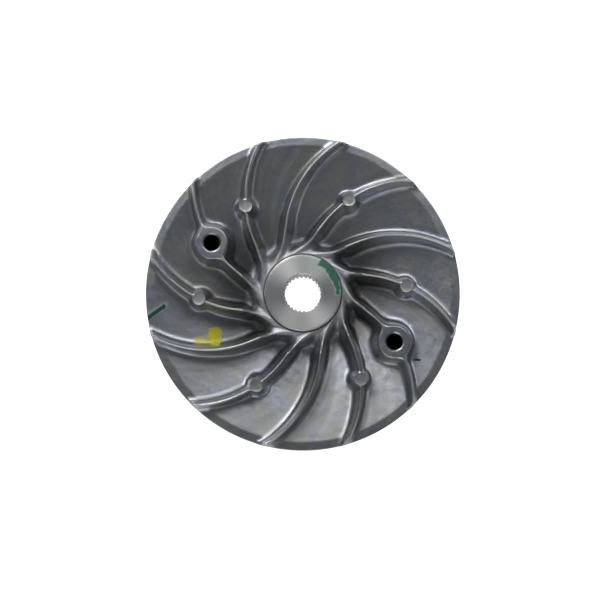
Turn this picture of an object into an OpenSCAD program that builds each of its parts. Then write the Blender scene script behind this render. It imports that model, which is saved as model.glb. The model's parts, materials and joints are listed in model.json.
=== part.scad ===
// Fan disc of a belt drive: a cast aluminium disc with curved cooling vanes
// on one side and a conical belt face on the other, cast round a splined hub.
// The axis is +Z with the vanes up. The origin is the centre of the bore at
// the hub's rear face, and +X runs through one of the two tool bosses.

/* [Disc] */
// Outside diameter of the disc
disc_d = 122; // [118:1:126]
// Angle of the belt face from a flat plane
belt_angle = 14; // [13:0.5:15]
// Thickness of the web, square to the belt face
web_t = 4; // [3.5:0.1:4.5]
// Thickness of the rim at its outer edge
rim_edge_t = 3.2; // [2:0.1:3.2]
// Width of the bevel round the rim, seen along the axis
rim_bevel_w = 3.2; // [2.5:0.1:3.5]

/* [Vanes] */
// Number of vanes; every sixth one carries a tool boss
vane_count = 12; // [12]
// Height of the vane tops above the hub's rear face
vane_top_z = 21; // [20:0.5:22]
// Width of a vane along its top
vane_top_w = 1.7; // [1.2:0.1:2]
// Draft of a vane's sides
vane_draft = 10; // [6:1:12]
// Radius of the arc that a vane follows
vane_arc_r = 43.3; // [42:0.1:46]
// Angle between a vane and the radius, at the rim
vane_rim_angle = 46.3; // [45:0.1:48]
// Radius inside which the vane tops slope down to the collar
vane_step_r = 24; // [23:0.5:25]
// Slope of that step
vane_step_angle = 57; // [45:1:65]
// Radius at which a vane's arc turns into the reverse arc of its root
root_join_r = 25; // [24.5:0.5:26]
// Radius of the reverse arc that carries a vane's root round the hub
root_arc_r = 28; // [26:0.5:29]

/* [Bosses] */
// Diameter of the circle through the two tool holes
tool_pcd = 80; // [78:0.5:82]
// Diameter of a tool hole
tool_hole_d = 6.2; // [5:0.1:7]
// Depth of a tool hole
tool_hole_depth = 10; // [8:0.5:10]
// Diameter of a tool boss at its top
tool_boss_d = 13; // [12:0.1:14]
// Chamfer at the mouth of a tool hole
tool_chamfer = 0.7; // [0.3:0.1:1]
// Diameter of an ejector pad at its top
pad_d = 4.8; // [4:0.1:5.5]
// Height of an ejector pad above the vane tops
pad_proud = 0.2; // [0.1:0.1:0.5]
// Angle from a vane's top line to the boss or pad that it carries
boss_lag = 2; // [0:0.5:3]

/* [Hub] */
// Length of the hub along the axis
hub_len = 17; // [16.5:0.5:18]
// Diameter of the hub's front flange
hub_front_d = 29.7; // [28:0.1:30]
// Diameter of the hub's rear flange
hub_rear_d = 28; // [27:0.1:29]
// Thickness of each flange
flange_t = 4; // [3:0.5:5]
// Diameter across the corners of the waist between the flanges
waist_d = 25; // [23:0.1:26]
// Number of serrations in the bore
tooth_count = 28; // [28]
// Diameter across the tips of the serrations
bore_tip_d = 14; // [13.6:0.1:14]
// Diameter across the roots of the serrations
bore_root_d = 15; // [14.8:0.1:15.4]
// Chamfer at each end of the bore and round each flange
hub_chamfer = 0.4; // [0.2:0.1:0.5]

/* [Hidden] */
$fn = 96;
eps = 0.01;

disc_r = disc_d / 2;
vane_pitch = 360 / vane_count;

// Belt face: a cone that starts just outside the hub and just above its rear.
belt_root_r = 16;
belt_root_z = 0.5;
belt_rim_z = belt_root_z + (disc_r - belt_root_r) * tan(belt_angle);

// The web's fan side runs parallel to the belt face as far as the rim's crest.
web_rise = web_t / cos(belt_angle);
crest_r = disc_r - rim_bevel_w;
function web_z(r) = belt_root_z + (r - belt_root_r) * tan(belt_angle) + web_rise;

// Collar of the casting round the hub, and the fillet from it into the web.
collar_r = 16.5;
collar_z = hub_len - 1.1;
collar_round = 0.5;
root_fillet_r = 8;
fillet_cx = collar_r + root_fillet_r;
fillet_cz = web_z(fillet_cx) + root_fillet_r / cos(belt_angle);

// Vane line: an arc from the rim inwards, then a reverse arc round the hub.
arc_start = 90 - vane_rim_angle;
arc_c = [disc_r - vane_arc_r * cos(arc_start), -vane_arc_r * sin(arc_start)];
arc_c_angle = atan2(arc_c.y, arc_c.x);
// Polar angle of the vane line at radius r, counted from its end at the rim.
function vane_angle(r) =
    arc_c_angle
    + acos((r * r + arc_c * arc_c - vane_arc_r * vane_arc_r) / (2 * r * norm(arc_c)));
join_p = root_join_r * [cos(vane_angle(root_join_r)), sin(vane_angle(root_join_r))];
join_dir = (join_p - arc_c) / vane_arc_r;
arc_end = atan2(join_dir.y, join_dir.x);
root_c = arc_c + (vane_arc_r + root_arc_r) * join_dir;
root_end = atan2(-root_c.y, -root_c.x);

// Steep bevel at a vane's rim end: its width along the radius and its height.
vane_end_w = 1;
vane_end_h = 5;
// Level of a vane's widest section, below the lowest part of the web it stands on.
vane_foot_z = 2;
// Angle by which a vane's arc runs on past the rim before it is cut off there.
rim_overrun = 6;

// Vanes that carry a tool boss, and vanes that carry an ejector pad.
tool_vanes = [0, 6];
pad_vanes = [1 : 2 : vane_count - 1];
boss_draft = 9;

// Turns the vanes so that the tool bosses lie on the X axis.
boss_angle = vane_angle(tool_pcd / 2) - boss_lag;

// Widths of a notch between two teeth, as shares of the tooth pitch.
notch_mouth = 0.62;
notch_root = 0.3;
// How far a cutting shape runs out of the solid that it cuts.
overshoot = 1;

// Points of a round corner or fillet, from angle a0 to a1.
function round_pts(cx, cz, r, a0, a1, steps) =
    [for (i = [0:steps]) let (a = a0 + (a1 - a0) * i / steps) [cx + r * cos(a), cz + r * sin(a)]];

// Half section of the web, collar and rim, out to the disc's edge.
module web_section() {
    polygon(concat(
        [[0, belt_root_z], [belt_root_r, belt_root_z], [disc_r, belt_rim_z],
         [disc_r, belt_rim_z + rim_edge_t], [crest_r, web_z(crest_r)]],
        round_pts(fillet_cx, fillet_cz, root_fillet_r, 270 + belt_angle, 180, 6),
        round_pts(collar_r - collar_round, collar_z - collar_round, collar_round, 0, 90, 4),
        [[0, collar_z]]
    ));
}

// Half section of the space that the vanes may fill: up from the middle of
// the web to the vane tops, sloped down to the collar and bevelled at the rim.
module vane_space_section() {
    mid_drop = web_rise / 2;
    step_w = (vane_top_z - collar_z) / tan(vane_step_angle);
    polygon([
        [0, belt_root_z + mid_drop], [belt_root_r, web_z(belt_root_r) - mid_drop],
        [disc_r, belt_rim_z + rim_edge_t / 2], [disc_r, vane_top_z - vane_end_h],
        [disc_r - vane_end_w, vane_top_z], [vane_step_r, vane_top_z],
        [vane_step_r - step_w, collar_z], [0, collar_z]
    ]);
}

// Cross-section of a vane, drafted from its foot to its top.
module vane_section() {
    foot = vane_top_w / 2 + (vane_top_z - vane_foot_z) * tan(vane_draft);
    polygon([[-foot, vane_foot_z], [foot, vane_foot_z],
             [vane_top_w / 2, vane_top_z + eps], [-vane_top_w / 2, vane_top_z + eps]]);
}

// One vane along both arcs, its rim end on the X axis.
module vane() {
    first = arc_start - rim_overrun;
    translate(arc_c)
        rotate_extrude(start = first, angle = arc_end - first)
            translate([vane_arc_r, 0]) vane_section();
    translate(root_c)
        rotate_extrude(start = arc_end - 180, angle = root_end - (arc_end - 180))
            translate([root_arc_r, 0]) vane_section();
}

// A drafted round boss with its flat top at height top_z and its foot in the web.
module boss(d, top_z) {
    foot_z = web_z(tool_pcd / 2) - web_rise / 2;
    height = top_z - foot_z;
    translate([0, 0, foot_z])
        cylinder(h = height, r1 = d / 2 + height * tan(boss_draft), r2 = d / 2);
}

// Places its children on the tool-hole circle, at vane i's line less an angle.
module at_vane(i, lag) {
    rotate([0, 0, i * vane_pitch + boss_lag - lag])
        translate([tool_pcd / 2, 0, 0]) children();
}

// A blind tool hole from the top of its boss, with a chamfered mouth.
module tool_hole() {
    r = tool_hole_d / 2;
    translate([0, 0, vane_top_z - tool_hole_depth])
        cylinder(h = tool_hole_depth + overshoot, r = r);
    translate([0, 0, vane_top_z - tool_chamfer])
        cylinder(h = tool_chamfer + eps, r1 = r, r2 = r + tool_chamfer + eps);
}

// Solid outside of the hub: two flanges with a twelve-sided waist between them.
module hub_blank() {
    rotate_extrude() polygon([
        [0, 0], [hub_rear_d / 2 - hub_chamfer, 0], [hub_rear_d / 2, hub_chamfer],
        [hub_rear_d / 2, flange_t], [0, flange_t]
    ]);
    translate([0, 0, flange_t - eps])
        cylinder(h = hub_len - 2 * flange_t + 2 * eps, d = waist_d, $fn = 12);
    translate([0, 0, hub_len]) mirror([0, 0, 1]) rotate_extrude() polygon([
        [0, 0], [hub_front_d / 2 - hub_chamfer, 0], [hub_front_d / 2, hub_chamfer],
        [hub_front_d / 2, flange_t], [0, flange_t]
    ]);
}

// Splined bore: a round hole across the tooth tips with a notch between each
// two teeth, chamfered at both ends.
module splined_bore() {
    tip_r = bore_tip_d / 2;
    root_r = bore_root_d / 2;
    pitch = 2 * PI * root_r / tooth_count;
    mouth_w = pitch * notch_mouth;
    root_w = pitch * notch_root;
    cut_len = hub_len + 2 * overshoot;
    translate([0, 0, -overshoot]) cylinder(h = cut_len, r = tip_r);
    for (i = [0:tooth_count - 1])
        rotate([0, 0, i * 360 / tooth_count]) translate([0, 0, -overshoot])
            linear_extrude(cut_len) polygon([
                [tip_r - overshoot, -mouth_w / 2], [tip_r, -mouth_w / 2], [root_r, -root_w / 2],
                [root_r, root_w / 2], [tip_r, mouth_w / 2], [tip_r - overshoot, mouth_w / 2]
            ]);
    for (side = [0, 1]) translate([0, 0, side * hub_len]) mirror([0, 0, side])
        translate([0, 0, -eps])
            cylinder(h = hub_chamfer + eps, r1 = root_r + hub_chamfer, r2 = root_r);
}

module fan_disc() {
    color("darkgray") difference() {
        union() {
            rotate_extrude() web_section();
            intersection() {
                rotate_extrude() vane_space_section();
                for (i = [0:vane_count - 1]) rotate([0, 0, i * vane_pitch - boss_angle]) vane();
            }
            for (i = tool_vanes) at_vane(i, boss_lag) boss(tool_boss_d, vane_top_z);
            for (i = pad_vanes) at_vane(i, 0) boss(pad_d, vane_top_z + pad_proud);
        }
        for (i = tool_vanes) at_vane(i, boss_lag) tool_hole();
        hub_blank();
    }
}

module splined_hub() {
    color("lightgray") difference() {
        hub_blank();
        splined_bore();
    }
}

fan_disc();
splined_hub();
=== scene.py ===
"""Looks of a cast aluminium fan disc with a splined steel hub.

The disc is a closed mesh whose fan side is a height field: a bowl, twelve swept vanes,
two tool bosses and six pads, blended with casting fillets. The hub is a turned ring with
a serrated bore. All lengths below are in millimetres unless a name says otherwise.
"""
import json
import math
import bpy
import numpy as np
from mathutils import Matrix, Vector, noise


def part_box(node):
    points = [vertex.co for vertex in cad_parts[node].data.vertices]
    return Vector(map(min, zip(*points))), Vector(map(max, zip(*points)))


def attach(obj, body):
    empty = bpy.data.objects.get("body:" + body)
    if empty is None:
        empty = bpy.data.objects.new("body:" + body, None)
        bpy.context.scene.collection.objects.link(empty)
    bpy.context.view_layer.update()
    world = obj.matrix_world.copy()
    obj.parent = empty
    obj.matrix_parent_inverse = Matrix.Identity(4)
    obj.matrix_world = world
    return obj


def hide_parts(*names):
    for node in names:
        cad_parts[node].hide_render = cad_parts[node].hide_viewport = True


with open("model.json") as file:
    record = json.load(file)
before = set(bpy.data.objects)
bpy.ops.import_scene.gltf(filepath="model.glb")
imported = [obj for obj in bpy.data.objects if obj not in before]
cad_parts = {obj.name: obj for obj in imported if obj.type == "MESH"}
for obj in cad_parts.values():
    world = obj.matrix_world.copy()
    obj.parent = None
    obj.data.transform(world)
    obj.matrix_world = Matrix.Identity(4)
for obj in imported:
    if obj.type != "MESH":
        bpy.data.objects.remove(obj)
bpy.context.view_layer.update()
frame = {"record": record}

MM = 0.001
disc_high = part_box("fan_disc")[1] / MM
hub_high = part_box("splined_hub")[1] / MM
tool_mount = next(m for m in frame["record"]["mounts"] if m["name"] == "tool_holes")

# ---------------------------------------------------------------- sizes
DISC_R = round(disc_high.x, 1)
HUB_LEN = hub_high.z
BOSS_RING_R = tool_mount["dims"]["pcd_mm"] / 2
TOOL_HOLE_R = tool_mount["dims"]["hole_r_mm"]
PAD_TOP = disc_high.z
PAD_PROUD = 0.2
VANE_TOP = PAD_TOP - PAD_PROUD
VANE_COUNT = 12
PITCH = math.tau / VANE_COUNT

# The belt face is a cone; the web's fan side runs parallel to it up to the rim's bevel.
BELT_ANGLE = math.radians(14)
BELT_SLOPE = math.tan(BELT_ANGLE)
BELT_ROOT_R = 16.0
BELT_ROOT_Z = 0.5
WEB_T = 4.0
WEB_RISE = WEB_T / math.cos(BELT_ANGLE)
RIM_BEVEL_W = 3.2
RIM_CREST_R = DISC_R - RIM_BEVEL_W
RIM_EDGE_T = 3.2

# The hub has two flanges with a waist between them, and a bore with serrations.
HUB_FRONT_R = 14.85
HUB_REAR_R = 14.0
HUB_WAIST_R = 12.2
FLANGE_T = 4.0
TEETH = 28
TOOTH_TIP_R = 7.0
TOOTH_ROOT_R = 7.5
BORE_CHAMFER = 0.08

# The casting's collar round the hub, with a small lip that drops to the hub's edge, and
# the height of the vanes' low roots on it.
COLLAR_INNER_R = HUB_FRONT_R + 0.22
COLLAR_OUTER_R = 23.5
COLLAR_Z = HUB_LEN - 2.6
ROOT_Z = HUB_LEN - 1.0
LIP_DROP = 0.9
LIP_W = 0.5

# Vanes: half widths along the top, draft of the sides, and the arc that they follow.
VANE_HALF_W = 0.6
ROOT_HALF_W = 0.5
DRAFT = math.radians(10)
ROOT_DRAFT = math.radians(51)
FOOT_R = 2.3
VANE_ARC_R = 43.3
VANE_RIM_ANGLE = math.radians(46.3)
# Along its length a vane's top rises gently from its root, then steeply from VANE_STEP_R,
# runs level, and slopes off at the rim.
CREST_RISE = 0.12
VANE_STEP_R = 21.4
STEP_SLOPE = 1.55
VANE_END_W = 1.0
VANE_END_SLOPE = 5.0
# Between these radii the vanes' shallow roots turn into steep, sharper vanes.
ROOT_END_R = 16.5
VANE_FULL_R = 21.0
# Radians by which streaks in the metal turn with each millimetre of radius, as the vanes do.
STREAK_SWEEP = 0.014
# Inside SWIRL_OUTER_R a vane bends more and more round the hub.
SWIRL = math.radians(12.5)
SWIRL_OUTER_R = 27.0
SWIRL_INNER_R = 14.6
# The pads and tool bosses lie a little behind their vanes' lines, as an angle. The tool
# bosses' own vanes are set back too, as a share of the pitch.
BOSS_LAG = math.radians(2)
TOOL_VANE_LAG = 0.05

TOOL_BOSS_R = 6.5
PAD_R = 2.5
PAD_DISH = 0.15
HOLE_DEPTH = 10.0
HOLE_CHAMFER = 0.7

# Width of the view, and how far right of and above its middle the disc lies.
FRAME_W = 1.91 * 2 * DISC_R
DISC_RIGHT = 1.1
DISC_ABOVE = 2.7
# The camera's up direction in the disc's frame.
UP_ANGLE = math.radians(118.5)
VIEW_TURN = UP_ANGLE - math.pi / 2

GREEN = (0.015, 0.16, 0.09, 1.0)
GREEN_DARK = (0.002, 0.075, 0.04, 1.0)
GREEN_PALE = (0.25, 0.55, 0.42, 1.0)
YELLOW = (0.88, 0.82, 0.01, 1.0)


# ---------------------------------------------------------------- shape of the casting
def smooth_max(a, b, k):
    """The larger of a and b, rounded over a height k."""
    h = np.maximum(k - np.abs(a - b), 0.0) / k
    return np.maximum(a, b) + h * h * k * 0.25


def smooth_min(a, b, k):
    """The smaller of a and b, rounded over a height k."""
    return -smooth_max(-a, -b, k)


def ease(r, low, high):
    """Goes smoothly from 0 at low to 1 at high."""
    t = np.clip((r - low) / (high - low), 0.0, 1.0)
    return t * t * (3 - 2 * t)


ARC_X = DISC_R - VANE_ARC_R * math.sin(VANE_RIM_ANGLE)
ARC_Y = -VANE_ARC_R * math.cos(VANE_RIM_ANGLE)
ARC_DIST = math.hypot(ARC_X, ARC_Y)
ARC_ANGLE = math.atan2(ARC_Y, ARC_X)


def arc_line(r):
    """Polar angle of the vanes' arc at radius r, from its end at the rim."""
    cosine = (r * r + ARC_DIST ** 2 - VANE_ARC_R ** 2) / (2 * r * ARC_DIST)
    return ARC_ANGLE + np.arccos(cosine)


BOSS_LINE = float(arc_line(BOSS_RING_R)) - BOSS_LAG


def grid_line(r):
    """Polar angle that the mesh's columns follow: the arc of vane 0."""
    return arc_line(r) - BOSS_LINE


def vane_line(r):
    """Polar angle of vane 0: the arc, then a swirl round the hub."""
    inside = np.clip((r - SWIRL_INNER_R) / (SWIRL_OUTER_R - SWIRL_INNER_R), 0.02, 1.0)
    return grid_line(r) - SWIRL * (np.log(inside) + 1 - inside)


def web_side(r):
    """Height of the web's fan side, with the bevel along the rim."""
    web = BELT_ROOT_Z + (r - BELT_ROOT_R) * BELT_SLOPE + WEB_RISE
    rim_top = BELT_ROOT_Z + (DISC_R - BELT_ROOT_R) * BELT_SLOPE + RIM_EDGE_T
    crest_top = BELT_ROOT_Z + (RIM_CREST_R - BELT_ROOT_R) * BELT_SLOPE + WEB_RISE
    bevel = rim_top + (DISC_R - r) * (crest_top - rim_top) / (DISC_R - RIM_CREST_R)
    return smooth_min(web, bevel, 0.12)


def floor_side(r):
    """Height between the vanes: the web, swept up to the hub in a wide fillet."""
    web = web_side(r)
    near_hub = np.clip((COLLAR_OUTER_R - r) / (COLLAR_OUTER_R - COLLAR_INNER_R), 0, 1)
    return web + (COLLAR_Z - web) * near_hub ** 2


def vane_crest(r):
    """Height of a vane's top along its length."""
    root = ROOT_Z + CREST_RISE * (r - COLLAR_INNER_R)
    step = root + (r - VANE_STEP_R) * STEP_SLOPE
    rim = VANE_TOP - (r - (DISC_R - VANE_END_W)) * VANE_END_SLOPE
    top = smooth_min(VANE_TOP + 0 * r, smooth_max(root, step, 1.5), 0.5)
    return smooth_min(top, rim, 0.6)


def vane_edge(r, theta):
    """Distances outside the top edges of the two nearest vanes; negative on a vane."""
    line, step = vane_line(r), 0.01
    slope = r * (vane_line(r + step) - vane_line(r - step)) / (2 * step)
    lean = 1 / np.sqrt(1 + slope * slope)
    phase = (theta - line) / PITCH
    # The tool bosses' vanes run a little behind their regular places.
    beside_tool = np.clip(np.abs(phase - 6 * np.round(phase / 6)), 0, 0.5)
    phase = phase + TOOL_VANE_LAG * np.cos(math.pi * beside_tool) ** 2
    nearest = np.abs(phase - np.round(phase))
    half_w = ROOT_HALF_W + (VANE_HALF_W - ROOT_HALF_W) * ease(r, 15.5, 19)
    return nearest * PITCH * r * lean - half_w, (1 - nearest) * PITCH * r * lean - half_w


def flank(edge, height, draft):
    """Height above the floor at a distance outside a top edge: a drafted wall, then an arc."""
    centre = height * np.tan(draft) + FOOT_R * (np.cos(draft) - (1 - np.sin(draft)) * np.tan(draft))
    inside = np.clip(centre - edge, 0, FOOT_R)
    arc = FOOT_R - np.sqrt(FOOT_R ** 2 - inside ** 2)
    return np.where(edge < centre - FOOT_R * np.cos(draft), height - edge / np.tan(draft), arc)


def boss_places():
    """Centre, radius and top height of each tool boss and ejector pad."""
    for i in range(VANE_COUNT):
        if i % 6 == 0:
            angle, radius, top = i * PITCH, TOOL_BOSS_R, VANE_TOP
        elif i % 2 == 1:
            angle, radius, top = i * PITCH + BOSS_LAG, PAD_R, PAD_TOP
        else:
            continue
        yield BOSS_RING_R * math.cos(angle), BOSS_RING_R * math.sin(angle), radius, top


def fan_side(x, y):
    """Height of the fan side at each point."""
    r, theta = np.hypot(x, y), np.arctan2(y, x)
    floor, top = floor_side(r), vane_crest(r)
    outer = ease(r, ROOT_END_R, VANE_FULL_R)
    draft = ROOT_DRAFT + (DRAFT - ROOT_DRAFT) * outer
    roundness = (1.5 + 1.7 * outer) * (1 - 0.8 * ease(r, DISC_R - 2.5, DISC_R - 0.8))
    edge, far_edge = vane_edge(r, theta)
    # The vanes flow into the tool bosses in a wide curve, and into the pads in a narrow one.
    for cx, cy, radius, boss_top in boss_places():
        out = np.hypot(x - cx, y - cy) - radius
        edge = smooth_min(edge, out, 3.0 if radius > PAD_R else 1.0)
    near, far = flank(edge, top - floor, draft), flank(far_edge, top - floor, draft)
    skin = smooth_min(floor + smooth_max(near, far, 2.0), top, roundness)
    skin = skin - LIP_DROP * (1 - ease(r, COLLAR_INNER_R, COLLAR_INNER_R + LIP_W))
    for cx, cy, radius, boss_top in boss_places():
        if radius == PAD_R:
            out = np.hypot(x - cx, y - cy)
            dished = boss_top - PAD_DISH * (1 - np.clip(out / radius, 0, 1) ** 4)
            skin = np.maximum(skin, dished - np.maximum(out - radius, 0) * 8)
    return skin


def spaced(*stops):
    """Positions from stop to stop: each stop is (end, spacing up to it)."""
    values = [stops[0][0]]
    for end, spacing in stops[1:]:
        steps = max(1, round(abs(end - values[-1]) / spacing))
        start = values[-1]
        values += [start + (end - start) * (i + 1) / steps for i in range(steps)]
    return np.array(values)


def snap_to_edges(x, y, reach):
    """Moves the points nearest to each boss's top edge onto that circle."""
    for cx, cy, radius, top in boss_places():
        dx, dy = x - cx, y - cy
        out = np.hypot(dx, dy)
        near = np.abs(out - radius) < reach
        scale = np.where(near, radius / np.maximum(out, 1e-6), 1.0)
        x, y = cx + dx * scale, cy + dy * scale
    return x, y


def cast_skin(x, y, z):
    """Faint waviness of a cast surface, in millimetres of height."""
    return np.array([
        noise.noise(Vector((px * 0.35, py * 0.35, pz * 0.35))) * 0.035
        + noise.noise(Vector((px * 1.1, py * 1.1, 7.0))) * 0.012
        for px, py, pz in zip(x, y, z)
    ])


def ring_mesh(name, rows, capped=False, columns_short=0):
    """Closed mesh from rings of points, listed outwards over the top and back below.

    The last ring joins the first, that many columns on, or both are capped.
    """
    columns = len(rows[0])
    points = np.concatenate(rows) * MM
    count = len(rows)
    faces = []
    for i in range(count - 1 if capped else count):
        closing = i == count - 1
        a, b = i * columns, 0 if closing else (i + 1) * columns
        skip = columns_short if closing else 0
        for j in range(columns):
            k = (j + 1) % columns
            near, far = (j - skip) % columns, (k - skip) % columns
            faces.append((a + j, b + near, b + far, a + k))
    if capped:
        last = (count - 1) * columns
        faces += [tuple(range(columns)), tuple(last + j for j in reversed(range(columns)))]
    mesh = bpy.data.meshes.new(name)
    mesh.from_pydata(points.tolist(), [], faces)
    return mesh


def cast_disc():
    """The casting: fan side, rim, belt face and the pocket that holds the hub."""
    # Columns are closer along the vanes, rows round the hub, the bosses and the rim.
    columns = spaced((-0.5, 0), (-0.27, 1 / 46), (0.27, 1 / 70), (0.5, 1 / 46))[:-1]
    phases = np.concatenate([(columns + i) * PITCH for i in range(VANE_COUNT)])
    radii = spaced((COLLAR_INNER_R, 0), (16.2, 0.1), (20, 0.25), (26, 0.32), (35.5, 0.5),
                   (44.5, 0.26), (50, 0.45), (57, 0.6), (DISC_R - 0.25, 0.3))
    rows = []
    for r in radii:
        theta = phases + float(grid_line(r))
        x, y = snap_to_edges(r * np.cos(theta), r * np.sin(theta), 0.14)
        z = fan_side(x, y)
        z = z + cast_skin(x, y, z)
        rows.append(np.stack([x, y, z], axis=1))

    def ring(r, z, turn):
        theta = phases + turn
        return np.stack([r * np.cos(theta), r * np.sin(theta), np.full_like(theta, z)], axis=1)

    # Rim: a rounded edge, a short wall, and the chamfered start of the belt face.
    rim_turn = float(grid_line(DISC_R))
    belt_rim = BELT_ROOT_Z + (DISC_R - BELT_ROOT_R) * BELT_SLOPE
    rim_top = rows[-1][:, 2]
    for out, drop in ((0.07, 0.09), (0.0, 0.3)):
        edge = ring(DISC_R - out, 0, rim_turn)
        edge[:, 2] = np.maximum(rim_top - drop, belt_rim + 0.5)
        rows.append(edge)
    for out, rise in ((0.0, 0.35), (0.12, 0.1), (0.4, -0.4 * BELT_SLOPE)):
        rows.append(ring(DISC_R - out, belt_rim + rise, rim_turn))
    # Belt face, then back up through the hub's pocket to the collar. The columns
    # unwind down the belt face to lie one vane short of where they started.
    inner_turn = float(grid_line(radii[0])) - PITCH
    belt = spaced((DISC_R - 1.5, 0), (BELT_ROOT_R, 1.5))
    for i, r in enumerate(belt):
        turn = rim_turn + (inner_turn - rim_turn) * (i + 1) / len(belt)
        rows.append(ring(r, BELT_ROOT_Z + (r - BELT_ROOT_R) * BELT_SLOPE, turn))
    lip_z = float(rows[0][:, 2].min())
    pocket = [(HUB_REAR_R + 0.3, BELT_ROOT_Z), (HUB_REAR_R, BELT_ROOT_Z + 0.3),
              (HUB_REAR_R, FLANGE_T), (HUB_WAIST_R, FLANGE_T),
              (HUB_WAIST_R, HUB_LEN - FLANGE_T), (HUB_FRONT_R, HUB_LEN - FLANGE_T),
              (HUB_FRONT_R, lip_z - 0.3), (HUB_FRONT_R + 0.15, lip_z - 0.1)]
    rows += [ring(r, z, inner_turn) for r, z in pocket]
    return ring_mesh("fan_disc_casting", rows, columns_short=len(columns))


def cut_tool_holes(disc):
    """Drills the two blind tool holes, with their chamfered mouths and coned ends."""
    for side in (0, math.pi):
        profile = [(1.0, VANE_TOP + 1.5), (TOOL_HOLE_R + HOLE_CHAMFER + 1.5, VANE_TOP + 1.5),
                   (TOOL_HOLE_R + HOLE_CHAMFER, VANE_TOP), (TOOL_HOLE_R + 0.1, VANE_TOP - 0.3),
                   (TOOL_HOLE_R, VANE_TOP - 0.5), (TOOL_HOLE_R, VANE_TOP - HOLE_DEPTH),
                   (0.3, VANE_TOP - HOLE_DEPTH - 1.2)]
        turn = np.linspace(0, math.tau, 96, endpoint=False)
        cx, cy = BOSS_RING_R * math.cos(side), BOSS_RING_R * math.sin(side)
        rows = [np.stack([cx + r * np.cos(turn), cy + r * np.sin(turn), np.full_like(turn, z)], axis=1)
                for r, z in profile]
        drill = add_object("drill", ring_mesh("drill", rows, capped=True))
        drill.data.materials.append(disc.data.materials[0])
        cut = disc.modifiers.new("tool hole", "BOOLEAN")
        cut.operation, cut.solver, cut.object = "DIFFERENCE", "EXACT", drill
        bake_modifiers(disc)
        bpy.data.objects.remove(drill)


def hub_ring():
    """The steel hub: a flanged ring whose bore has rounded serrations."""
    points_per_tooth = 18
    place = np.arange(TEETH * points_per_tooth) / points_per_tooth
    turn = place / TEETH * math.tau
    # Each notch is deepest at a whole place; its sides rise from 0.15 to 0.34 of the pitch.
    from_notch = np.abs(place - np.round(place))
    tooth = TOOTH_ROOT_R - (TOOTH_ROOT_R - TOOTH_TIP_R) * ease(from_notch, 0.15, 0.34)

    def ring(r, z):
        r, z = r + 0 * turn, z + 0 * turn
        return np.stack([r * np.cos(turn), r * np.sin(turn), z], axis=1)

    mouth_r = TOOTH_ROOT_R + BORE_CHAMFER
    face = spaced((mouth_r + 0.05, 0), (HUB_FRONT_R - 0.35, 0.8))
    rear = spaced((HUB_REAR_R - 0.35, 0), (mouth_r + 0.05, 1.5))
    rows = [ring(tooth, HUB_LEN - mouth_r + tooth), ring(mouth_r, HUB_LEN)]
    rows += [ring(r, HUB_LEN) for r in face]
    outline = [(HUB_FRONT_R - 0.28, HUB_LEN - 0.02), (HUB_FRONT_R - 0.03, HUB_LEN - 0.27),
               (HUB_FRONT_R, HUB_LEN - 0.34), (HUB_FRONT_R, HUB_LEN - FLANGE_T),
               (HUB_WAIST_R, HUB_LEN - FLANGE_T), (HUB_WAIST_R, FLANGE_T), (HUB_REAR_R, FLANGE_T),
               (HUB_REAR_R, 0.34), (HUB_REAR_R - 0.03, 0.27), (HUB_REAR_R - 0.28, 0.02)]
    rows += [ring(r, z) for r, z in outline]
    rows += [ring(r, 0) for r in rear]
    rows += [ring(mouth_r, 0), ring(tooth, mouth_r - tooth)]
    return ring_mesh("splined_hub_ring", rows)


# ---------------------------------------------------------------- building objects
def add_object(name, mesh):
    """Puts a mesh in the scene under its name."""
    piece = bpy.data.objects.new(name, mesh)
    bpy.context.scene.collection.objects.link(piece)
    return piece


def bake_modifiers(piece):
    """Replaces a piece's mesh by what its modifiers make of it."""
    evaluated = piece.evaluated_get(bpy.context.evaluated_depsgraph_get())
    mesh = bpy.data.meshes.new_from_object(evaluated)
    piece.modifiers.clear()
    piece.data = mesh


def finish_surface(piece, sharp_deg):
    """Smooth shading that keeps the edges sharper than an angle."""
    for polygon in piece.data.polygons:
        polygon.use_smooth = True
    piece.data.set_sharp_from_angle(angle=math.radians(sharp_deg))


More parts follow.
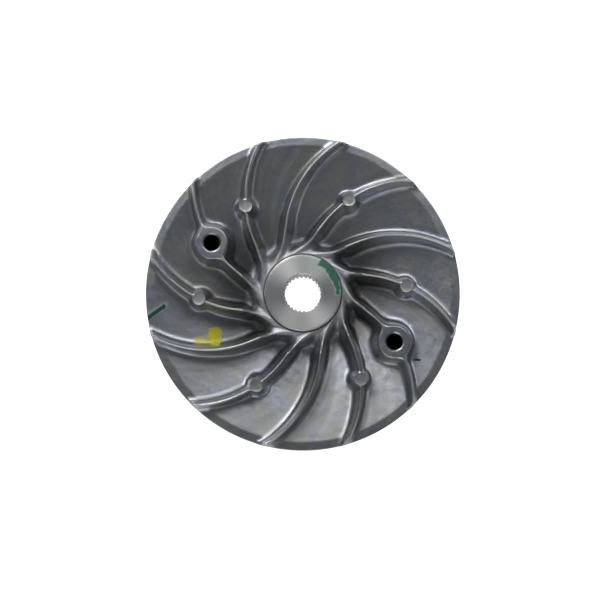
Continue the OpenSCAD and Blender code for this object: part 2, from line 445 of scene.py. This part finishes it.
# ---------------------------------------------------------------- materials
class Shader:
    """A material's node tree with short ways to add nodes."""

    def __init__(self, name):
        self.material = bpy.data.materials.new(name)
        self.material.use_nodes = True
        self.tree = self.material.node_tree
        self.surface = self.tree.nodes["Principled BSDF"]
        self.place = self.add("ShaderNodeTexCoord").outputs["Object"]

    def add(self, kind, **settings):
        """A new node with some of its settings changed."""
        node = self.tree.nodes.new(kind)
        for key, value in settings.items():
            setattr(node, key, value)
        return node

    def feed(self, socket, value):
        """Links another node's output to a socket, or sets its value."""
        if isinstance(value, bpy.types.NodeSocket):
            self.tree.links.new(value, socket)
        else:
            socket.default_value = value

    def math(self, operation, *values, clamp=False):
        """The result of a calculation with numbers."""
        node = self.add("ShaderNodeMath", operation=operation, use_clamp=clamp)
        for socket, value in zip(node.inputs, values):
            self.feed(socket, value)
        return node.outputs[0]

    def vector(self, operation, *values, scale=None):
        """The result of a calculation with vectors."""
        node = self.add("ShaderNodeVectorMath", operation=operation)
        for socket, value in zip(node.inputs, values):
            self.feed(socket, value)
        if scale is not None:
            self.feed(node.inputs["Scale"], scale)
        return node.outputs["Value"] if operation in ("LENGTH", "DOT_PRODUCT") else node.outputs[0]

    def noise(self, size_mm, detail=2.0, roughness=0.5, place=None, distortion=0.0):
        """Noise whose largest features are about size_mm across."""
        node = self.add("ShaderNodeTexNoise")
        self.feed(node.inputs["Vector"], place or self.place)
        self.feed(node.inputs["Scale"], 1 / (size_mm * MM))
        self.feed(node.inputs["Detail"], detail)
        self.feed(node.inputs["Roughness"], roughness)
        self.feed(node.inputs["Distortion"], distortion)
        return node.outputs["Fac"]

    def ramp(self, value, low, high, to_low=0.0, to_high=1.0):
        """Maps low..high to another range, with smooth ends."""
        node = self.add("ShaderNodeMapRange", interpolation_type="SMOOTHSTEP")
        for key, number in (("Value", value), ("From Min", low), ("From Max", high),
                            ("To Min", to_low), ("To Max", to_high)):
            self.feed(node.inputs[key], number)
        return node.outputs["Result"]

    def blend(self, factor, a, b):
        """Mixes two colours."""
        node = self.add("ShaderNodeMix", data_type="RGBA")
        self.feed(node.inputs["Factor"], factor)
        self.feed(node.inputs["A"], a)
        self.feed(node.inputs["B"], b)
        return node.outputs["Result"]

    def between(self, factor, a, b):
        """Goes from value a to value b as the factor goes from 0 to 1."""
        node = self.add("ShaderNodeMix", data_type="FLOAT")
        for socket, value in zip(node.inputs[:1] + node.inputs[2:4], (factor, a, b)):
            self.feed(socket, value)
        return node.outputs[0]

    def radius_mm(self):
        """Distance from the axis."""
        return self.vector("LENGTH", self.vector("MULTIPLY", self.place, (1 / MM, 1 / MM, 0)))

    def height_mm(self):
        """Height along the axis."""
        return self.vector("DOT_PRODUCT", self.place, (0, 0, 1 / MM))

    def turn_deg(self):
        """Angle round the axis, from -180 to 180."""
        split = self.add("ShaderNodeSeparateXYZ")
        self.feed(split.inputs[0], self.place)
        angle = self.math("ARCTAN2", split.outputs[1], split.outputs[0])
        return self.math("MULTIPLY", angle, math.degrees(1))

    def rings(self, size_mm):
        """Noise that changes only with the radius, as a lathe tool leaves it."""
        line = self.add("ShaderNodeCombineXYZ")
        self.feed(line.inputs[0], self.math("MULTIPLY", self.radius_mm(), MM))
        return self.noise(size_mm, 4.0, 0.7, place=line.outputs[0])

    def swept_place(self):
        """Noise place that is drawn out along the vanes' sweep, in metres."""
        turn = self.add("ShaderNodeVectorRotate", rotation_type="Z_AXIS")
        self.feed(turn.inputs["Vector"], self.vector("MULTIPLY", self.place, (1, 1, 0)))
        self.feed(turn.inputs["Angle"], self.math("MULTIPLY", self.radius_mm(), STREAK_SWEEP))
        outward = self.vector("NORMALIZE", turn.outputs[0])
        return self.vector("SCALE", outward, scale=2 * MM)

    def below_crest(self, radius, height):
        """Depth below the line of the vane tops."""
        root = self.math("MULTIPLY_ADD", radius, CREST_RISE, ROOT_Z - CREST_RISE * COLLAR_INNER_R)
        step = self.math("MULTIPLY_ADD", self.math("SUBTRACT", radius, VANE_STEP_R), STEP_SLOPE, root)
        crest = self.math("MINIMUM", self.math("MAXIMUM", root, step), VANE_TOP)
        return self.math("SUBTRACT", crest, height)

    def sideways(self):
        """1 to the picture's left and right of the axis, 0 above and below it."""
        outward = self.vector("NORMALIZE", self.vector("MULTIPLY", self.place, (1, 1, 0)))
        return self.math("ABSOLUTE", self.vector("DOT_PRODUCT", outward, in_disc(1.0, 0.0)))

    def from_bosses(self):
        """Distance from the axis of the nearer tool hole."""
        folded = self.vector("MULTIPLY", self.vector("ABSOLUTE", self.place), (1 / MM, 1 / MM, 0))
        return self.vector("LENGTH", self.vector("SUBTRACT", folded, (BOSS_RING_R, 0, 0)))

    def stroke(self, start, end, half_w, rag, soft=0.15):
        """Mask of a brush stroke between two places of the picture, with ragged edges.

        The places are in millimetres to the right of and above the disc's centre.
        """
        start, end = in_disc(*start), in_disc(*end)
        along = end - start
        place = self.vector("SUBTRACT", self.vector("MULTIPLY", self.place, (1 / MM, 1 / MM, 0)), start)
        share = self.vector("DOT_PRODUCT", place, along / along.length_squared)
        share = self.math("ADD", share, 0.0, clamp=True)
        nearest = self.vector("SCALE", tuple(along), scale=share)
        away = self.vector("LENGTH", self.vector("SUBTRACT", place, nearest))
        edge = self.math("MULTIPLY", self.math("SUBTRACT", self.noise(1.3, 3.0, 0.6), 0.5), 2 * rag)
        away = self.math("ADD", away, edge)
        return self.ramp(away, half_w - soft, half_w + soft, 1, 0)

    def bump(self, height, depth_mm):
        """Normal of a surface that is raised by up to depth_mm."""
        node = self.add("ShaderNodeBump")
        node.inputs["Strength"].default_value = 1.0
        node.inputs["Distance"].default_value = depth_mm * MM
        self.feed(node.inputs["Height"], height)
        return node.outputs["Normal"]


def in_disc(right, above):
    """A place of the picture, in millimetres from the disc's centre, in the disc's frame."""
    return Matrix.Rotation(VIEW_TURN, 3, "Z") @ Vector((right, above, 0.0))


def grey(value, warm=0.0):
    """A grey, a little warmer or cooler."""
    return (value * (1 + warm), value, value * (1 - warm), 1.0)


def cast_aluminium():
    """The casting: satin grey as cast, turned on its underside, with paint marks on top."""
    shader = Shader("cast_aluminium")
    radius, height = shader.radius_mm(), shader.height_mm()
    grain = shader.noise(0.9, 3.0, 0.6)
    lumps = shader.noise(2.6, 3.0, 0.55)

    # As cast: bluish and neutral blotches and streaks where the metal ran; painted shade in a band round
    # the hub and a painted highlight along the vane tops.
    blotch = shader.ramp(shader.noise(11, 3.0, 0.5, distortion=0.6), 0.4, 0.6)
    colour = shader.blend(blotch, (0.42, 0.42, 0.41, 1), (0.45, 0.47, 0.53, 1))
    streak = shader.ramp(shader.noise(0.22, 3.0, 0.6, place=shader.swept_place()), 0.35, 0.75)
    colour = shader.blend(shader.math("MULTIPLY", streak, 0.6), colour, grey(0.62, -0.02))
    # Painted shade: a darker colour standing in for shade, in a ragged band round the hub, stronger to the
    # picture's left and right of the axis.
    uneven = shader.math("MULTIPLY_ADD", lumps, 12, shader.math("SUBTRACT", radius, 6))
    painted_shade_band = shader.math("MULTIPLY", shader.ramp(uneven, 18, 23, 0, 0.4), shader.ramp(uneven, 24, 38, 1, 0))
    painted_shade_band = shader.math("MULTIPLY", painted_shade_band, shader.ramp(shader.sideways(), 0.45, 0.95, 0.8, 1.8))
    colour = shader.blend(painted_shade_band, colour, grey(0.2, 0.02))
    # Painted highlight: the vane tops are lighter in colour near their crest line, patchily and not on the
    # tool bosses, and a little less rough.
    crest_highlight = shader.ramp(shader.below_crest(radius, height), 0.0, 0.9, 1, 0)
    crest_highlight = shader.math("MULTIPLY", crest_highlight, shader.ramp(lumps, 0.25, 0.6, 0.6, 1.0))
    off_bosses = shader.ramp(shader.from_bosses(), TOOL_BOSS_R - 0.3, TOOL_BOSS_R + 0.3)
    crest_highlight = shader.math("MULTIPLY", crest_highlight, off_bosses)
    colour = shader.blend(crest_highlight, colour, grey(0.68))
    rough = shader.math("SUBTRACT", shader.ramp(grain, 0.2, 0.8, 0.35, 0.47),
                        shader.math("MULTIPLY", crest_highlight, 0.02))
    rough = shader.math("MULTIPLY_ADD", blotch, -0.06, rough)
    rough = shader.math("ADD", rough, shader.ramp(radius, 19, 29, 0.13, 0.0))
    relief = shader.math("ADD", lumps, shader.math("MULTIPLY", grain, 0.4))

    # Belt face and rim: turned, with fine concentric marks.
    belt = shader.math("MULTIPLY_ADD", radius, BELT_SLOPE, BELT_ROOT_Z - BELT_ROOT_R * BELT_SLOPE)
    under = shader.ramp(shader.math("SUBTRACT", height, belt), 0.3, 0.45, 1, 0)
    turned = shader.math("MAXIMUM", under, shader.ramp(radius, DISC_R - 0.2, DISC_R - 0.1))
    rings = shader.rings(0.3)
    colour = shader.blend(turned, colour, shader.blend(rings, grey(0.55), grey(0.7)))
    rough = shader.between(turned, rough, shader.ramp(rings, 0.3, 0.7, 0.24, 0.34))
    relief = shader.between(turned, relief, rings)

    # Tool holes: painted shade, nearly black and rough below their mouths, standing in for the shadow in
    # the deep holes.
    hole = shader.ramp(shader.from_bosses(), TOOL_HOLE_R + 0.05, TOOL_HOLE_R + 0.15, 1, 0)
    hole = shader.math("MULTIPLY", hole, shader.ramp(height, VANE_TOP - 0.5, VANE_TOP - 0.35, 1, 0))
    top_side = shader.math("SUBTRACT", 1.0, under)
    hole = shader.math("MULTIPLY", hole, top_side)
    colour = shader.blend(hole, colour, grey(0.008))
    rough = shader.between(hole, rough, 0.9)
    metal = shader.math("SUBTRACT", 1.0, hole)

    # Paint marks: a dash on the rim, a dab on one vane, and a dark scuff.
    for mask, paint in ((rim_halo(shader), GREEN_PALE), (rim_dash(shader), GREEN_DARK),
                        (vane_dab(shader), YELLOW), (web_scuff(shader), grey(0.03))):
        mask = shader.math("MULTIPLY", mask, top_side)
        colour = shader.blend(mask, colour, paint)
        rough = shader.between(mask, rough, 0.5)
        metal = shader.math("MULTIPLY", metal, shader.math("SUBTRACT", 1.0, mask))

    shader.feed(shader.surface.inputs["Base Color"], colour)
    shader.feed(shader.surface.inputs["Roughness"], rough)
    shader.feed(shader.surface.inputs["Metallic"], metal)
    shader.feed(shader.surface.inputs["Normal"], shader.bump(relief, 0.05))
    return shader.material


def rim_dash(shader):
    """Where the green dash near the rim lies."""
    return shader.stroke((-60.6, -10.1), (-54.0, -5.2), 0.75, 0.5)


def rim_halo(shader):
    """Where the thin paint round the green dash lies."""
    return shader.math("MULTIPLY", shader.stroke((-60.6, -9.2), (-53.6, -4.6), 1.2, 1.3), 0.4)


def vane_dab(shader):
    """Where the yellow dab on a vane lies, with the tail that it drags along the vane."""
    blob = shader.stroke((-34.3, -15.4), (-34.2, -18.2), 2.4, 1.9)
    thin = shader.ramp(shader.noise(1.4, 3.0, 0.6), 0.35, 0.6, 0.72, 1.0)
    tail = shader.stroke((-40.5, -18.2), (-36.0, -17.9), 1.5, 1.6, soft=1.1)
    blob, tail = shader.math("MULTIPLY", blob, thin), shader.math("MULTIPLY", tail, 0.6)
    return shader.math("MAXIMUM", blob, tail)


def web_scuff(shader):
    """Where the small dark scuff on the web lies."""
    return shader.stroke((43.2, -25.9), (45.4, -26.0), 0.45, 0.5)


def hub_arc(shader, extra_w=0.0):
    """Where the green arc on the hub's edge lies, wider at the end it started from.

    extra_w widens it to either side, for the thin paint along its edges.
    """
    from_right = shader.math("SUBTRACT", shader.turn_deg(), math.degrees(VIEW_TURN))
    half = shader.math("ADD", shader.ramp(from_right, -6, 40, 0.8, 1.5), extra_w)
    away = shader.math("ABSOLUTE", shader.math("SUBTRACT", shader.radius_mm(), HUB_FRONT_R - 1.25))
    rag = shader.math("MULTIPLY", shader.math("SUBTRACT", shader.noise(1.6, 3.0, 0.6), 0.5), 2.6)
    across = shader.ramp(shader.math("SUBTRACT", shader.math("ADD", away, rag), half), -0.25, 0.15, 0.93, 0)
    first, last = shader.ramp(from_right, -5, -2), shader.ramp(from_right, 60, 64, 1, 0)
    return shader.math("MULTIPLY", across, shader.math("MULTIPLY", first, last))


def hub_smear(shader):
    """Where the thin green smear across the hub's face lies."""
    return shader.math("MULTIPLY", shader.stroke((4.4, 9.2), (5.6, 13.6), 0.9, 1.2), 0.3)


def turned_steel():
    """Face-turned steel: bright, with fine concentric tool marks and a green paint arc."""
    shader = Shader("turned_steel")
    rings = shader.rings(0.22)
    colour = shader.blend(shader.noise(5, 3.0), grey(0.84, 0.01), grey(0.94, 0.0))
    rough = shader.ramp(rings, 0.3, 0.7, 0.36, 0.44)
    metal = 1.0
    on_face = shader.ramp(shader.height_mm(), HUB_LEN - 1.0, HUB_LEN - 0.6)
    thin_paint = shader.math("MULTIPLY", hub_arc(shader, 0.5), 0.4)
    for mask, paint in ((hub_smear(shader), GREEN_PALE), (thin_paint, GREEN_PALE),
                        (hub_arc(shader), GREEN)):
        mask = shader.math("MULTIPLY", mask, on_face)
        colour = shader.blend(mask, colour, paint)
        rough = shader.between(mask, rough, 0.45)
        metal = shader.math("SUBTRACT", metal, mask, clamp=True)
    shader.feed(shader.surface.inputs["Base Color"], colour)
    shader.feed(shader.surface.inputs["Roughness"], rough)
    shader.feed(shader.surface.inputs["Metallic"], metal)
    shader.surface.inputs["Anisotropic"].default_value = 0.7
    shader.surface.inputs["Anisotropic Rotation"].default_value = 0.25
    tangent = shader.add("ShaderNodeTangent", direction_type="RADIAL", axis="Z")
    shader.feed(shader.surface.inputs["Tangent"], tangent.outputs[0])
    shader.feed(shader.surface.inputs["Normal"], shader.bump(rings, 0.006))
    return shader.material


def plain_floor():
    """The pale floor: evenly white to look at, dimmer where the metal mirrors it."""
    shader = Shader("pale_floor")
    colour = shader.blend(shader.noise(300, 1.0), grey(0.9), grey(0.92))
    shader.feed(shader.surface.inputs["Base Color"], colour)
    shader.surface.inputs["Roughness"].default_value = 0.9
    shader.surface.inputs["Emission Color"].default_value = (1, 1, 1, 1)
    seen = shader.add("ShaderNodeLightPath").outputs["Is Camera Ray"]
    shader.feed(shader.surface.inputs["Emission Strength"], shader.between(seen, 0.25, 1.0))
    return shader.material


# ---------------------------------------------------------------- camera and light
def direction(azimuth_deg, elevation_deg):
    """Unit vector towards a point of the sky; the azimuth is counted from the picture's right."""
    a = math.radians(azimuth_deg) + VIEW_TURN
    e = math.radians(elevation_deg)
    return Vector((math.cos(a) * math.cos(e), math.sin(a) * math.cos(e), math.sin(e)))


def aim(thing, place, target, up=Vector((0, 0, 1))):
    """Puts a camera or light at a place, looking at a target with its top towards up."""
    back = (place - target).normalized()
    right = up.cross(back).normalized()
    turn = Matrix((right, back.cross(right), back)).transposed().to_4x4()
    thing.matrix_world = Matrix.Translation(place) @ turn


def softbox(name, azimuth, elevation, distance, size, power):
    """A square area light aimed at the disc, in metres and watts."""
    lamp = bpy.data.lights.new(name, "AREA")
    lamp.shape, lamp.size, lamp.energy = "SQUARE", size, power
    holder = add_object(name, lamp)
    aim(holder, direction(azimuth, elevation) * distance, Vector((0, 0, 0.015)))


def make_camera():
    """The camera over the disc, a little towards the picture's lower edge."""
    distance, elevation = 0.55, 86.4
    frame_width = FRAME_W * MM
    data = bpy.data.cameras.new("camera")
    data.sensor_width = 36.0
    data.lens = data.sensor_width * distance / frame_width
    camera = add_object("camera", data)
    rim_z = (BELT_ROOT_Z + (DISC_R - BELT_ROOT_R) * BELT_SLOPE + RIM_EDGE_T) * MM
    target = Vector((0, 0, rim_z)) - (direction(0, 0) * DISC_RIGHT + direction(90, 0) * DISC_ABOVE) * MM
    aim(camera, target + direction(-90, elevation) * distance, target, up=direction(90, 0))
    bpy.context.scene.camera = camera


# ---------------------------------------------------------------- the scene
aluminium, steel = cast_aluminium(), turned_steel()

disc = add_object("fan_disc_casting", cast_disc())
disc.data.materials.append(aluminium)
cut_tool_holes(disc)
finish_surface(disc, 60)
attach(disc, "root")
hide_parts("fan_disc")

hub = add_object("splined_hub_ring", hub_ring())
hub.data.materials.append(steel)
finish_surface(hub, 35)
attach(hub, "root")
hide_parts("splined_hub")

make_camera()
softbox("key_left", 122, 47, 0.8, 0.36, 1.5)
softbox("key_right", 62, 47, 0.8, 0.36, 1.05)
softbox("low_key", 112, 22, 0.8, 0.3, 1.2)
softbox("fill", -105, 35, 1.0, 0.8, 1.1)
softbox("low_fill", -100, 14, 1.0, 0.6, 0.8)
world = bpy.data.worlds.new("studio")
world.use_nodes = True
world.node_tree.nodes["Background"].inputs["Color"].default_value = (0.9, 0.95, 1.0, 1.0)
world.node_tree.nodes["Background"].inputs["Strength"].default_value = 0.1
bpy.context.scene.world = world
bpy.context.scene.view_settings.view_transform = "Standard"

bpy.ops.mesh.primitive_plane_add(size=6.0, location=(0, 0, 0))
floor = bpy.context.object
floor.name = "floor"
floor.data.materials.append(plain_floor())
